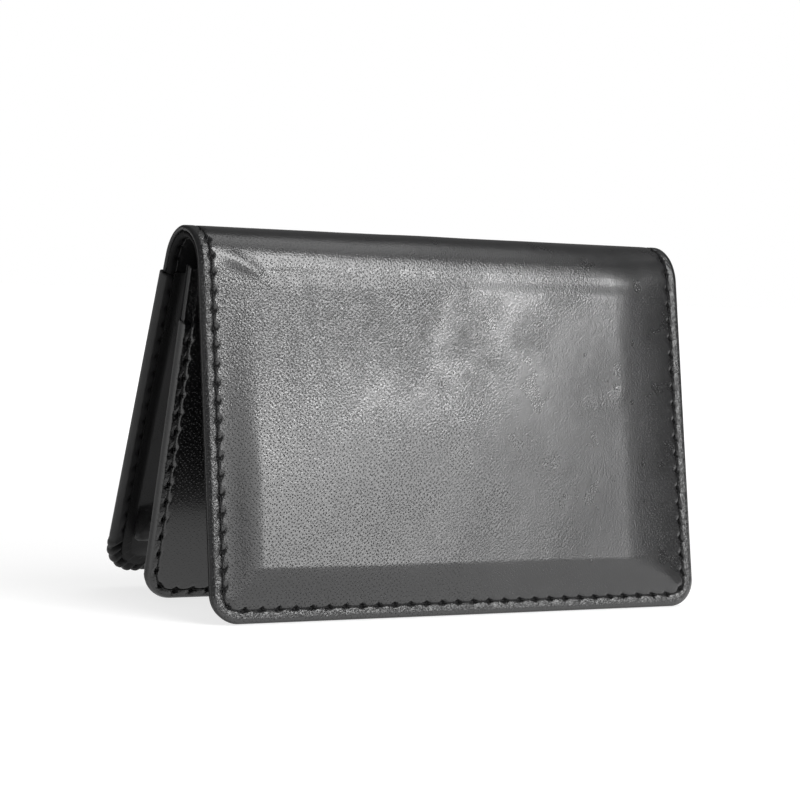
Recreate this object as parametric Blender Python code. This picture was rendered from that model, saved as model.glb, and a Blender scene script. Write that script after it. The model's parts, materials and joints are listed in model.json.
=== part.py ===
"""A folding wallet for business cards, in turned-edge calf leather, standing open like a tent.

Two covered leaves hang from a rounded spine, and between them hangs a page.  The page and the
back leaf are the two walls of the card pocket, joined at the sides and the bottom by one folded
strip of leather, the gusset.  Lengths are in metres, angles in radians, +Z is up, +X runs along
the spine, and the front leaf is on the -Y side.
"""
import math

import bmesh
import bpy
from mathutils import Vector

MM = 0.001

# Driving sizes of the whole wallet
WIDTH = 108.0 * MM
FRONT_LENGTH = 66.8 * MM
BACK_LENGTH = 67.9 * MM
CORNER_RADIUS = 5.0 * MM

# How far the wallet stands open, each leaf measured from upright
FRONT_TILT = math.radians(9.6)
PAGE_TILT = math.radians(14.6)
BACK_TILT = math.radians(21.8)

# Thickness of each layer
COVER = 0.9 * MM
BOARD = 0.5 * MM
LINING = 0.6 * MM
INNER_SLIP = 0.7 * MM
OUTER_SLIP = 0.6 * MM
GUSSET = 0.5 * MM
PLY_GAP = 0.1 * MM

# Room left between the leaves under the spine
MOUTH_DEPTH = 7.2 * MM
FOLD_EASE = 2.1 * MM

# Creases on the spine, and the hem that the cover turns over its board
CREASE_ANGLE = math.radians(40.0)
CREASE_GAP = 0.3 * MM
HEM_WIDTH = 7.0 * MM
HEM_STEP = 0.2 * MM
BOARD_CLEARANCE = 0.3 * MM
BOARD_CORNER = 1.5 * MM

# Raised panel on the front leaf
PAD_MARGIN_SIDE = 9.5 * MM
PAD_MARGIN_FOOT = 8.5 * MM
PAD_MARGIN_HEAD = 0.4 * MM
PAD_BEVEL = 5.0 * MM
PAD_RISE = 1.3 * MM
PAD_CORE_INSET = 2.2 * MM

# Pockets
SLIP_DROP = 12.0 * MM
OUTER_SLIP_DROP = 3.6 * MM
PAGE_SLIP_DROP = 10.5 * MM
SLIP_INSET = 0.5 * MM
PAGE_HEAD = -1.7 * MM
PAGE_INSET = 0.8 * MM
PAGE_AXIS_RISE = 6.0 * MM

# Gusset
GUSSET_LEG = 8.1 * MM
GUSSET_INSET = 0.5 * MM
GUSSET_HEAD = 3.0 * MM
GUSSET_PAGE_RISE = 7.5 * MM
GUSSET_STEPS = 36

# Seams, each sunk in a shallow groove, and the rounded outer edge of the leather
SEAM_INSET = 2.7 * MM
GROOVE_WIDTH = 0.9 * MM
GROOVE_DEPTH = 0.15 * MM
EDGE_ROUND = 0.3 * MM
STITCH_LENGTH = 3.5 * MM
THREAD_DIAMETER = 0.5 * MM
THREAD_LIFT = 0.12 * MM
THREAD_END_GAP = 1.2 * MM

# Facets on the round stretches, and how the flat layers are cut and shaded
CORNER_STEPS = 6
BEVEL_STEPS = 4
ARC_STEP = math.radians(12.0)
SMOOTH_ANGLE = math.radians(35.0)
CUT_TOLERANCE = 0.0001 * MM
FLAT_THICKNESS = 1.0 * MM

# Depths, measured inwards from the outer face of the cover
BOARD_TOP = COVER + PLY_GAP
BOARD_BASE = BOARD_TOP + BOARD
LINING_TOP = BOARD_BASE + PLY_GAP
COVER_STACK = LINING_TOP + LINING
FRONT_SLIP_TOP = COVER_STACK + PLY_GAP
FRONT_STACK = FRONT_SLIP_TOP + INNER_SLIP

# Depths through the page, measured backwards from the face of its front panel
PAGE_BOARD_TOP = LINING + PLY_GAP
PAGE_BACK_TOP = PAGE_BOARD_TOP + BOARD + PLY_GAP
PAGE_STACK = PAGE_BACK_TOP + LINING
PAGE_SLIP_TOP = PLY_GAP + INNER_SLIP

# The spine is as round as the closed stack needs
ARCH_RADIUS = (FRONT_STACK + FOLD_EASE + PAGE_SLIP_TOP + PAGE_STACK + MOUTH_DEPTH + COVER_STACK) / 2
ARCH_HEIGHT = FRONT_LENGTH * math.cos(FRONT_TILT) - ARCH_RADIUS * math.sin(FRONT_TILT)

FRONT = -1
BACK = 1
TILT = {FRONT: FRONT_TILT, BACK: BACK_TILT}


def leaf_point(side, along, depth):
    """Y and Z on a covered leaf; along runs down from the arch, and is negative on the arch."""
    tilt = TILT[side]
    radius = ARCH_RADIUS - depth
    angle = tilt - min(along, 0.0) / ARCH_RADIUS
    straight = max(along, 0.0)
    y = side * (radius * math.cos(angle) + straight * math.sin(tilt))
    z = ARCH_HEIGHT + radius * math.sin(angle) - straight * math.cos(tilt)
    return y, z


# The page hangs in front of the back leaf, its top rear corner one mouth depth from the lining
PAGE_REAR_TOP = leaf_point(BACK, 0.0, COVER_STACK + MOUTH_DEPTH)
PAGE_TOP_Y = (PAGE_REAR_TOP[0] + PAGE_HEAD * math.sin(BACK_TILT) - PAGE_STACK * math.cos(PAGE_TILT))
PAGE_TOP_Z = (PAGE_REAR_TOP[1] - PAGE_HEAD * math.cos(BACK_TILT) - PAGE_STACK * math.sin(PAGE_TILT))
PAGE_LIP = PLY_GAP + INNER_SLIP
PAGE_LENGTH = (PAGE_TOP_Z - PAGE_SLIP_TOP * math.sin(PAGE_TILT)) / math.cos(PAGE_TILT) - PAGE_LIP
PAGE_HALF = WIDTH / 2 - PAGE_INSET


def page_point(along, depth):
    """Y and Z on the page; along runs down from its top edge, depth runs backwards."""
    y = PAGE_TOP_Y + along * math.sin(PAGE_TILT) + depth * math.cos(PAGE_TILT)
    z = PAGE_TOP_Z - along * math.cos(PAGE_TILT) + depth * math.sin(PAGE_TILT)
    return y, z


def crease_along(side):
    """How far up the arch, as a negative length, a leaf's crease lies."""
    return -(CREASE_ANGLE - TILT[side]) * ARCH_RADIUS


def crease_retreat(side, depth):
    """How far a layer of this depth stops short of the crease, so that the leaf can fold shut."""
    room = CREASE_GAP + depth * math.tan(TILT[side])
    return room / 2 * ARCH_RADIUS / (ARCH_RADIUS - depth)


def front_foot(depth):
    """Length of a front layer whose lower edge still clears the floor."""
    return FRONT_LENGTH - depth * math.tan(FRONT_TILT)


# The crease at the back of the spine, on the front leaf's own measure
REAR_CREASE = -(math.pi - CREASE_ANGLE - FRONT_TILT) * ARCH_RADIUS

# Outermost points at the front and at the back, which centre the wallet on Y
THREAD_TOP = 2 * THREAD_LIFT + THREAD_DIAMETER - GROOVE_DEPTH
OUTER_SLIP_TOP = PLY_GAP + OUTER_SLIP
BACK_HALF = WIDTH / 2 - OUTER_SLIP_TOP
FRONT_REACH = min(
    leaf_point(FRONT, FRONT_LENGTH, 0.0)[0],
    leaf_point(FRONT, FRONT_LENGTH - SEAM_INSET, -THREAD_TOP)[0],
)
BACK_REACH = max(
    leaf_point(BACK, BACK_LENGTH + OUTER_SLIP_TOP, -OUTER_SLIP_TOP)[0],
    leaf_point(BACK, BACK_LENGTH - SEAM_INSET, -OUTER_SLIP_TOP - THREAD_TOP)[0],
)
MIDDLE_Y = (FRONT_REACH + BACK_REACH) / 2

# Axes that the moving bodies turn about, as Y and Z before centring
AXES = {
    "spine": (0.0, ARCH_HEIGHT),
    "front_leaf": leaf_point(FRONT, crease_along(FRONT), 0.0),
    "back_leaf": leaf_point(BACK, crease_along(BACK), 0.0),
    "page": page_point(-PAGE_AXIS_RISE, PAGE_STACK / 2),
}


def front_place(along, depth):
    """Place a point of the front leaf."""
    return leaf_point(FRONT, along, depth)


def back_place(along, depth):
    """Place a point of the back leaf."""
    return leaf_point(BACK, along, depth)


def leather(name, shade, roughness):
    """A plain finished leather."""
    material = bpy.data.materials.new(name)
    material.use_nodes = True
    shader = material.node_tree.nodes["Principled BSDF"]
    shader.inputs["Base Color"].default_value = (shade, shade, shade, 1.0)
    shader.inputs["Roughness"].default_value = roughness
    shader.inputs["Metallic"].default_value = 0.0
    return material


def clear_scene():
    """Remove whatever the file holds already."""
    for thing in list(bpy.data.objects):
        bpy.data.objects.remove(thing)


def new_collection(name):
    """A collection linked to the scene."""
    collection = bpy.data.collections.new(name)
    bpy.context.scene.collection.children.link(collection)
    return collection


def axis_position(body):
    """World position of a body's axis."""
    y, z = AXES[body]
    return Vector((0.0, y - MIDDLE_Y, z))


def make_axes(collection):
    """An empty on the axis of each body; the pieces of the body are its children."""
    empties = {}
    for body in AXES:
        empty = bpy.data.objects.new(body + "_axis", None)
        empty.location = axis_position(body)
        empty.empty_display_size = HEM_WIDTH
        collection.objects.link(empty)
        empties[body] = empty
    return empties


class Bench:
    """Where finished pieces go: the collection and the empties of the bodies."""

    def __init__(self):
        self.collection = new_collection("business_card_wallet")
        self.empties = make_axes(self.collection)

    def add(self, name, data, body, material):
        """Link one piece, its origin on the axis of its body."""
        piece = bpy.data.objects.new(name, data)
        data.materials.append(material)
        self.collection.objects.link(piece)
        piece.parent = self.empties[body]
        return piece

    def add_mesh(self, name, shape, body, material):
        """Turn a bmesh in world places into a piece of a body."""
        bmesh.ops.recalc_face_normals(shape, faces=shape.faces[:])
        if shape.calc_volume(signed=True) < 0.0:
            bmesh.ops.reverse_faces(shape, faces=shape.faces[:])
        bmesh.ops.translate(shape, verts=shape.verts[:], vec=-axis_position(body))
        data = bpy.data.meshes.new(name)
        shape.to_mesh(data)
        shape.free()
        data.shade_smooth()
        data.set_sharp_from_angle(angle=SMOOTH_ANGLE)
        return self.add(name, data, body, material)


def bend_radius(corner, inset):
    """Radius of a rounded corner once its outline is drawn in by an inset."""
    return max(corner - inset, BOARD_CORNER)


def outline(half, top, bottom, corner, inset):
    """Points down the left edge, round both lower corners and up the right edge."""
    reach = half - inset
    foot = bottom - inset
    bend = bend_radius(corner, inset)
    points = [(-reach, top)]
    for step in range(CORNER_STEPS + 1):
        angle = math.pi / 2 * step / CORNER_STEPS
        points.append((bend - reach - bend * math.cos(angle), foot - bend + bend * math.sin(angle)))
    return points + [(-x, s) for x, s in reversed(points)]


def edge_distance(x, s, half, bottom, corner):
    """How far a point lies inside the edge of a leaf, its open top not counted."""
    from_side = half - abs(x)
    from_foot = bottom - s
    if from_side < corner and from_foot < corner:
        return corner - math.hypot(corner - from_side, corner - from_foot)
    return min(from_side, from_foot)


def cut_sheet(shape, cuts):
    """Cut a flat sheet along straight lines, each given as a point and a normal."""
    for point, normal in cuts:
        geometry = shape.verts[:] + shape.edges[:] + shape.faces[:]
        bmesh.ops.bisect_plane(shape, geom=geometry, plane_co=point, plane_no=normal,
                               dist=CUT_TOLERANCE)


def flat_sheet(half, top, bottom, corner, insets, x_cuts, s_cuts):
    """A flat layer in X and length, with a ring of faces for each inset and straight cuts."""
    shape = bmesh.new()
    rings = []
    for inset in [0.0] + insets:
        points = outline(half, top, bottom, corner, inset)
        rings.append([shape.verts.new((x, s, 0.0)) for x, s in points])
    for outer, inner in zip(rings, rings[1:]):
        for i in range(len(outer) - 1):
            shape.faces.new((outer[i], outer[i + 1], inner[i + 1], inner[i]))
    shape.faces.new(rings[-1])
    cuts = [((x, 0.0, 0.0), (1.0, 0.0, 0.0)) for x in x_cuts]
    cuts += [((0.0, s, 0.0), (0.0, 1.0, 0.0)) for s in s_cuts]
    cut_sheet(shape, cuts)
    return shape


def lay_layer(shape, place, outer, inner):
    """Give a flat sheet its two faces and lay it on its leaf.

    outer and inner are depths, or functions of X and length that return one."""
    shape.normal_update()
    bmesh.ops.solidify(shape, geom=shape.faces[:], thickness=FLAT_THICKNESS)
    for vert in shape.verts:
        x, s, z = vert.co
        surface = outer if abs(z) < FLAT_THICKNESS / 2 else inner
        depth = surface(x, s) if callable(surface) else surface
        y, height = place(s, depth)
        vert.co = (x, y - MIDDLE_Y, height)
    return shape


def arc_cuts(top, bottom):
    """Cuts across the part of a leaf that lies on the arch."""
    span = min(bottom, 0.0) - top
    count = max(1, math.ceil(span / (ARC_STEP * ARCH_RADIUS)))
    return [top + span * i / count for i in range(1, count)] + ([0.0] if bottom > 0.0 > top else [])


def groove_insets():
    """Insets, from a leaf's edge, of the rings that draw the stitching groove."""
    start = SEAM_INSET - GROOVE_WIDTH / 2
    end = SEAM_INSET + GROOVE_WIDTH / 2
    return [start - GROOVE_DEPTH, start, end, end + GROOVE_DEPTH]


def groove_depth(inside):
    """Depth of the stitching groove at a distance inside the leaf's edge."""
    off_groove = abs(inside - SEAM_INSET) - GROOVE_WIDTH / 2
    return GROOVE_DEPTH if off_groove < GROOVE_DEPTH / 2 else 0.0


def rim_insets():
    """Insets of the rings that draw the rounded edge and the stitching groove."""
    return [EDGE_ROUND] + groove_insets()


def rim_depth(inside):
    """How far the outer face lies below its flat level at a distance inside the edge."""
    return max(EDGE_ROUND - inside, 0.0) + groove_depth(inside)


def ease(value):
    """A smooth step from 0 to 1."""
    value = min(max(value, 0.0), 1.0)
    return value * value * (3.0 - 2.0 * value)


PAD_HALF = WIDTH / 2 - PAD_MARGIN_SIDE
PAD_FOOT = FRONT_LENGTH - PAD_MARGIN_FOOT


def pad_rise(x, s):
    """Height of the raised panel at a point of the front leaf."""
    across = ease((PAD_HALF - abs(x)) / PAD_BEVEL)
    down = ease((s - PAD_MARGIN_HEAD) / PAD_BEVEL) * ease((PAD_FOOT - s) / PAD_BEVEL)
    return PAD_RISE * across * down


def pad_cuts():
    """Cuts that follow the bevel of the raised panel."""
    steps = [PAD_BEVEL * i / BEVEL_STEPS for i in range(BEVEL_STEPS + 1)]
    across = [PAD_HALF - step for step in steps]
    down = [PAD_MARGIN_HEAD + step for step in steps] + [PAD_FOOT - step for step in steps]
    return across + [-x for x in across], down


def make_front_leaf(bench, hide, lining_hide, board_stuff):
    """Cover, pad, board, lining and slip pocket of the front leaf."""
    half = WIDTH / 2
    top = crease_along(FRONT)
    pad_x, pad_s = pad_cuts()
    cover_foot = front_foot(BOARD_BASE)

    def recessed(x, s):
        in_board = edge_distance(x, s, half, cover_foot, CORNER_RADIUS) > HEM_WIDTH + HEM_STEP / 2
        if in_board and s > HEM_STEP / 2:
            return COVER - pad_rise(x, s)
        return BOARD_BASE

    head = top + crease_retreat(FRONT, BOARD_BASE)
    cuts = arc_cuts(head, cover_foot) + [HEM_STEP]
    rings = rim_insets() + [HEM_WIDTH, HEM_WIDTH + HEM_STEP]
    sheet = flat_sheet(half, head, cover_foot, CORNER_RADIUS, rings, pad_x, cuts + pad_s)

    def face(x, s):
        return rim_depth(edge_distance(x, s, half, cover_foot, CORNER_RADIUS)) - pad_rise(x, s)

    lay_layer(sheet, front_place, face, recessed)
    bench.add_mesh("front_cover", sheet, "front_leaf", hide)

    core_half = PAD_HALF - PAD_CORE_INSET
    core_top = PAD_MARGIN_HEAD + PAD_CORE_INSET
    core_foot = PAD_FOOT - PAD_CORE_INSET
    inner_x = [x for x in pad_x if abs(x) < core_half]
    inner_s = [s for s in pad_s if core_top < s < core_foot]
    core = flat_sheet(core_half, core_top, core_foot, BOARD_CORNER, [], inner_x, inner_s)
    lay_layer(core, front_place, lambda x, s: COVER - pad_rise(x, s) + PLY_GAP, COVER)
    bench.add_mesh("front_pad", core, "front_leaf", board_stuff)

    board_inset = HEM_WIDTH + HEM_STEP + BOARD_CLEARANCE
    board = flat_sheet(half - board_inset, HEM_STEP + BOARD_CLEARANCE, cover_foot - board_inset,
                       BOARD_CORNER, [], [], [])
    lay_layer(board, front_place, BOARD_TOP, BOARD_BASE)
    bench.add_mesh("front_board", board, "front_leaf", board_stuff)

    head = top + crease_retreat(FRONT, COVER_STACK)
    foot = front_foot(COVER_STACK)
    lining = flat_sheet(half, head, foot, CORNER_RADIUS, [], [], arc_cuts(head, foot))
    lay_layer(lining, front_place, LINING_TOP, COVER_STACK)
    bench.add_mesh("front_lining", lining, "front_leaf", lining_hide)

    foot = front_foot(FRONT_STACK)
    slip = flat_sheet(half - SLIP_INSET, SLIP_DROP, foot, CORNER_RADIUS, [], [], [])
    lay_layer(slip, front_place, FRONT_SLIP_TOP, FRONT_STACK)
    bench.add_mesh("front_slip_pocket", slip, "front_leaf", lining_hide)


def make_spine(bench, hide, lining_hide, board_stuff):
    """Cover, backing and lining of the rounded spine, which ends at a crease on each side."""
    half = WIDTH / 2

    def face(x, s):
        return rim_depth(half - abs(x))

    layers = [
        ("spine_cover", face, COVER, rim_insets(), hide),
        ("spine_backing", BOARD_TOP, BOARD_BASE, [], board_stuff),
        ("spine_lining", LINING_TOP, COVER_STACK, [], lining_hide),
    ]
    for name, outer, inner, insets, stuff in layers:
        start = REAR_CREASE + crease_retreat(BACK, inner)
        end = crease_along(FRONT) - crease_retreat(FRONT, inner)
        sheet = bmesh.new()
        bmesh.ops.create_grid(sheet, x_segments=1, y_segments=1, size=half)
        for vert in sheet.verts:
            vert.co.y = start if vert.co.y < 0.0 else end
        cuts = [((side * (half - inset), 0.0, 0.0), (1.0, 0.0, 0.0)) for inset in insets for side in (-1, 1)]
        cuts += [((0.0, cut, 0.0), (0.0, 1.0, 0.0)) for cut in arc_cuts(start, end)]
        cut_sheet(sheet, cuts)
        lay_layer(sheet, front_place, outer, inner)
        bench.add_mesh(name, sheet, "spine", stuff)


def make_back_leaf(bench, hide, lining_hide, board_stuff):
    """Cover, board, lining and outer slip pocket of the back leaf."""
    half = BACK_HALF

    def recessed(x, s):
        in_board = edge_distance(x, s, half, BACK_LENGTH, CORNER_RADIUS) > HEM_WIDTH + HEM_STEP / 2
        return COVER if in_board and s > HEM_STEP / 2 else BOARD_BASE

    def face(x, s):
        return rim_depth(edge_distance(x, s, half, BACK_LENGTH, CORNER_RADIUS))

    head = crease_along(BACK) + crease_retreat(BACK, BOARD_BASE)
    cuts = arc_cuts(head, BACK_LENGTH) + [HEM_STEP]
    rings = rim_insets() + [HEM_WIDTH, HEM_WIDTH + HEM_STEP]
    sheet = flat_sheet(half, head, BACK_LENGTH, CORNER_RADIUS, rings, [], cuts)
    lay_layer(sheet, back_place, face, recessed)
    bench.add_mesh("back_cover", sheet, "back_leaf", hide)

    board_inset = HEM_WIDTH + HEM_STEP + BOARD_CLEARANCE
    board = flat_sheet(half - board_inset, HEM_STEP + BOARD_CLEARANCE, BACK_LENGTH - board_inset,
                       BOARD_CORNER, [], [], [])
    lay_layer(board, back_place, BOARD_TOP, BOARD_BASE)
    bench.add_mesh("back_board", board, "back_leaf", board_stuff)

    head = crease_along(BACK) + crease_retreat(BACK, COVER_STACK)
    lining = flat_sheet(half, head, BACK_LENGTH, CORNER_RADIUS, [], [], arc_cuts(head, BACK_LENGTH))
    lay_layer(lining, back_place, LINING_TOP, COVER_STACK)
    bench.add_mesh("back_lining", lining, "back_leaf", lining_hide)

    make_wrapped_pocket(bench, "back_slip_pocket", "back_leaf", hide, back_place,
                        (half, OUTER_SLIP_DROP, BACK_LENGTH), OUTER_SLIP, COVER_STACK)


def make_wrapped_pocket(bench, name, body, material, place, area, thickness, wrap_depth):
    """A slip pocket on the outer face of a leaf, turned over the leaf's side and lower edges.

    area is the leaf's half width, the place of the pocket's mouth and the leaf's length."""
    leaf_half, mouth, leaf_foot = area
    reach = PLY_GAP + thickness
    half = leaf_half + reach
    foot = leaf_foot + reach
    corner = CORNER_RADIUS + reach

    def inner(x, s):
        at_lip = edge_distance(x, s, half, foot, corner) < thickness + PLY_GAP / 4
        return wrap_depth if at_lip else -PLY_GAP

    def outer(x, s):
        inside = edge_distance(x, s, half, foot, corner)
        return max(EDGE_ROUND - inside, 0.0) + groove_depth(inside - reach) - reach

    insets = [EDGE_ROUND, thickness, thickness + PLY_GAP / 2]
    insets += [reach + inset for inset in groove_insets()]
    sheet = flat_sheet(half, mouth, foot, corner, insets, [], [])
    lay_layer(sheet, place, outer, inner)
    bench.add_mesh(name, sheet, body, material)


def make_page(bench, hide, lining_hide, board_stuff):
    """Front panel, board, rear panel and slip pocket of the page."""
    def face(x, s):
        return groove_depth(edge_distance(x, s, PAGE_HALF, PAGE_LENGTH, CORNER_RADIUS))

    layers = [
        ("page_front_panel", face, LINING, 0.0, groove_insets(), hide),
        ("page_board", PAGE_BOARD_TOP, PAGE_BOARD_TOP + BOARD, SEAM_INSET, [], board_stuff),
        ("page_rear_panel", PAGE_BACK_TOP, PAGE_STACK, 0.0, [], lining_hide),
    ]
    for name, outer, inner, inset, rings, stuff in layers:
        sheet = flat_sheet(PAGE_HALF - inset, inset, PAGE_LENGTH - inset, CORNER_RADIUS, rings, [], [])
        lay_layer(sheet, page_point, outer, inner)
        bench.add_mesh(name, sheet, "page", stuff)
    make_wrapped_pocket(bench, "page_slip_pocket", "page", hide, page_point,
                        (PAGE_HALF, PAGE_SLIP_DROP, PAGE_LENGTH), INNER_SLIP, PAGE_STACK)


def rim_length(half, top, bottom, corner, inset):
    """Length of a line round a leaf's sides and foot, inset from its edge."""
    bend = bend_radius(corner, inset)
    side = bottom - inset - bend - top
    return 2 * side + math.pi * bend + 2 * (half - inset - bend)


def rim_at(distance, half, top, bottom, corner, inset):
    """Point on that line, and the direction into the leaf there."""
    total = rim_length(half, top, bottom, corner, inset)
    mirrored = distance > total / 2
    along = total - distance if mirrored else distance
    bend = bend_radius(corner, inset)
    reach = half - inset
    foot = bottom - inset
    side = foot - bend - top
    turn = bend * math.pi / 2
    if along <= side:
        x, s, inward = -reach, top + along, (1.0, 0.0)
    elif along <= side + turn:
        angle = (along - side) / bend
        inward = (math.cos(angle), -math.sin(angle))
        x = bend - reach - bend * inward[0]
        s = foot - bend - bend * inward[1]
    else:
        x, s, inward = bend - reach + along - side - turn, foot, (0.0, -1.0)
    if mirrored:
        return -x, s, (-inward[0], inward[1])
    return x, s, inward


def make_gusset(bench, material):
    """One strip folded inwards along its middle, round the card pocket from mouth to mouth."""
    page_rim = (PAGE_HALF, GUSSET_HEAD, PAGE_LENGTH - GUSSET_PAGE_RISE, CORNER_RADIUS, GUSSET_INSET)
    back_rim = (BACK_HALF, GUSSET_HEAD, BACK_LENGTH, CORNER_RADIUS, GUSSET_INSET)
    page_depth = PAGE_STACK + PLY_GAP
    back_depth = COVER_STACK + PLY_GAP
    centring = Vector((0.0, MIDDLE_Y, 0.0))
    shape = bmesh.new()
    sections = []
    for step in range(GUSSET_STEPS + 1):
        share = step / GUSSET_STEPS
        page_x, page_s, inward = rim_at(share * rim_length(*page_rim), *page_rim)
        back_x, back_s, _ = rim_at(share * rim_length(*back_rim), *back_rim)
        near = Vector((page_x, *page_point(page_s, page_depth)))
        far = Vector((back_x, *leaf_point(BACK, back_s, back_depth)))
        into = Vector((inward[0], inward[1] * math.sin(PAGE_TILT), -inward[1] * math.cos(PAGE_TILT)))
        span = (far - near).length / 2
        fold = math.sqrt(max(GUSSET_LEG ** 2 - span ** 2, GUSSET ** 2))
        middle = (near + far) / 2 + into * fold
        leg = GUSSET * GUSSET_LEG / max(span, GUSSET)
        section = [near, middle, far, far + into * leg, middle + into * leg, near + into * leg]
        sections.append([shape.verts.new(point - centring) for point in section])
    for first, second in zip(sections, sections[1:]):
        for i in range(len(first)):
            j = (i + 1) % len(first)
            shape.faces.new((first[i], first[j], second[j], second[i]))
    shape.faces.new(sections[0])
    shape.faces.new(list(reversed(sections[-1])))
    bench.add_mesh("gusset", shape, "page", material)


def add_thread(bench, name, body, material, points):
    """A row of stitches as one thread that dips at every needle hole."""
    offset = axis_position(body)
    curve = bpy.data.curves.new(name, "CURVE")
    curve.dimensions = "3D"
    spline = curve.splines.new("POLY")
    spline.points.add(len(points) - 1)
    for point, target in zip(spline.points, points):
        point.co = (*(Vector(target) - offset), 1.0)
    curve.bevel_depth = THREAD_DIAMETER / 2
    curve.bevel_resolution = 0
    curve.use_fill_caps = True
    bench.add(name, curve, body, material)


def stitch_heights(count):
    """Height of the thread's middle above the leather, at each hole and on top of each stitch."""
    low = THREAD_LIFT + THREAD_DIAMETER / 2 - GROOVE_DEPTH
    return [low + (THREAD_LIFT if i % 2 else 0.0) for i in range(count)]


def rim_seam(place, rim, surface):
    """Points of a seam round a leaf; surface gives the height of the leather under it."""
    total = rim_length(*rim)
    stitches = round(total / STITCH_LENGTH)
    points = []
    for i, height in enumerate(stitch_heights(2 * stitches + 1)):
        x, s, _ = rim_at(total * i / (2 * stitches), *rim)
        y, z = place(s, -surface(s) - height)
        points.append((x, y - MIDDLE_Y, z))
    return points


def make_seams(bench, material):
    """The visible row of stitches on each leaf, and one over each end of the spine."""
    half = WIDTH / 2
    head = crease_along(FRONT) + THREAD_END_GAP
    front_rim = (half, head, front_foot(BOARD_BASE), CORNER_RADIUS, SEAM_INSET)
    points = rim_seam(front_place, front_rim, lambda s: 0.0)
    add_thread(bench, "front_thread", "front_leaf", material, points)

    def back_surface(s):
        return OUTER_SLIP_TOP if s > OUTER_SLIP_DROP - THREAD_END_GAP else 0.0

    head = crease_along(BACK) + THREAD_END_GAP
    back_rim = (BACK_HALF, head, BACK_LENGTH, CORNER_RADIUS, SEAM_INSET)
    points = rim_seam(back_place, back_rim, back_surface)
    add_thread(bench, "back_thread", "back_leaf", material, points)

    def page_surface(s):
        return PAGE_SLIP_TOP if s > PAGE_SLIP_DROP - THREAD_END_GAP else 0.0

    page_rim = (PAGE_HALF, THREAD_END_GAP, PAGE_LENGTH, CORNER_RADIUS, SEAM_INSET)
    points = rim_seam(page_point, page_rim, page_surface)
    add_thread(bench, "page_thread", "page", material, points)

    start = crease_along(FRONT) - THREAD_END_GAP
    end = REAR_CREASE + THREAD_END_GAP
    stitches = round((start - end) / STITCH_LENGTH)
    for end_name, side in (("left", -1), ("right", 1)):
        points = []
        for i, height in enumerate(stitch_heights(2 * stitches + 1)):
            along = start + (end - start) * i / (2 * stitches)
            y, z = leaf_point(FRONT, along, -height)
            points.append((side * (half - SEAM_INSET), y - MIDDLE_Y, z))
        add_thread(bench, "spine_thread_" + end_name, "spine", material, points)


clear_scene()
wallet_bench = Bench()
outer_hide = leather("black_calf", 0.025, 0.30)
inner_hide = leather("black_calf_lining", 0.018, 0.42)
grey_board = leather("grey_bonded_board", 0.30, 0.85)
waxed_thread = leather("black_waxed_thread", 0.012, 0.60)
make_spine(wallet_bench, outer_hide, inner_hide, grey_board)
make_front_leaf(wallet_bench, outer_hide, inner_hide, grey_board)
make_back_leaf(wallet_bench, outer_hide, inner_hide, grey_board)
make_page(wallet_bench, outer_hide, inner_hide, grey_board)
make_gusset(wallet_bench, inner_hide)
make_seams(wallet_bench, waxed_thread)
for body_name in AXES:
    print("axis of", body_name, [round(value, 6) for value in axis_position(body_name)])
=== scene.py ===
"""Looks of a wallet for business cards in black calf, standing open like a tent.

A rounded spine carries a padded front leaf and a back leaf with an outer slip pocket. Between them
hangs a page with a slip pocket of its own, joined to the back leaf by a folded gusset. Lengths are
in metres, +Z is up, +X runs along the spine and the front leaf is on the -Y side.
"""
import json
import math
from typing import Callable, NamedTuple

import bmesh
import bpy
import numpy as np
from mathutils import Matrix, Vector, noise


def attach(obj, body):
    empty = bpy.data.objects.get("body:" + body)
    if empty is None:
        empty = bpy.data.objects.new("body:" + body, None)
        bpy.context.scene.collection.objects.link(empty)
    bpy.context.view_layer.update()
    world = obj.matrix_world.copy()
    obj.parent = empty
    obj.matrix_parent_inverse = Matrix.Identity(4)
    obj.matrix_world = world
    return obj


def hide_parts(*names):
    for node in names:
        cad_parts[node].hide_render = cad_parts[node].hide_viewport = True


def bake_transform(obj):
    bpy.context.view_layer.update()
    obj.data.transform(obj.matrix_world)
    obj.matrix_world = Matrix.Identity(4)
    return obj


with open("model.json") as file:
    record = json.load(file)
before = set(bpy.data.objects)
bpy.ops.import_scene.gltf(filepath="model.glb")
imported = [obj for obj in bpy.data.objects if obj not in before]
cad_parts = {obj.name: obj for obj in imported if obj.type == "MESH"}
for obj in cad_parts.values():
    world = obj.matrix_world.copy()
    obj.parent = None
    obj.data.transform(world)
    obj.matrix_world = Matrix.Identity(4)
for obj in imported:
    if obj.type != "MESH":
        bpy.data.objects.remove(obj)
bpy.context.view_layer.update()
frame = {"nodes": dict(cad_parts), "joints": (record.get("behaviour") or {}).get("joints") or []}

# The front hide. Polished black calf of 0.9 mm covers the front half of the spine and the whole
# front leaf. It is stretched over a felt pad, so a raised rectangle with soft bevels shows, and
# its skived edges are folded over the leaf, pressed and sewn, which leaves a plump rounded rim.
MM = 0.001
CREASE_ANGLE = math.radians(40.0)
FRONT_TILT = math.radians(9.6)
BACK_TILT = math.radians(21.8)
hinges = {joint["name"]: Vector(joint["pos_m"]) for joint in frame["joints"]}
ARCH_Y = (hinges["back_fold"].y + hinges["front_fold"].y) / 2
ARCH_RADIUS = (hinges["back_fold"].y - hinges["front_fold"].y) / 2 / math.cos(CREASE_ANGLE)
ARCH_Z = hinges["front_fold"].z - ARCH_RADIUS * math.sin(CREASE_ANGLE)
FRONT_CREST = -(math.pi / 2 - FRONT_TILT) * ARCH_RADIUS
BACK_CREST = -(math.pi / 2 - BACK_TILT) * ARCH_RADIUS


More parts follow.
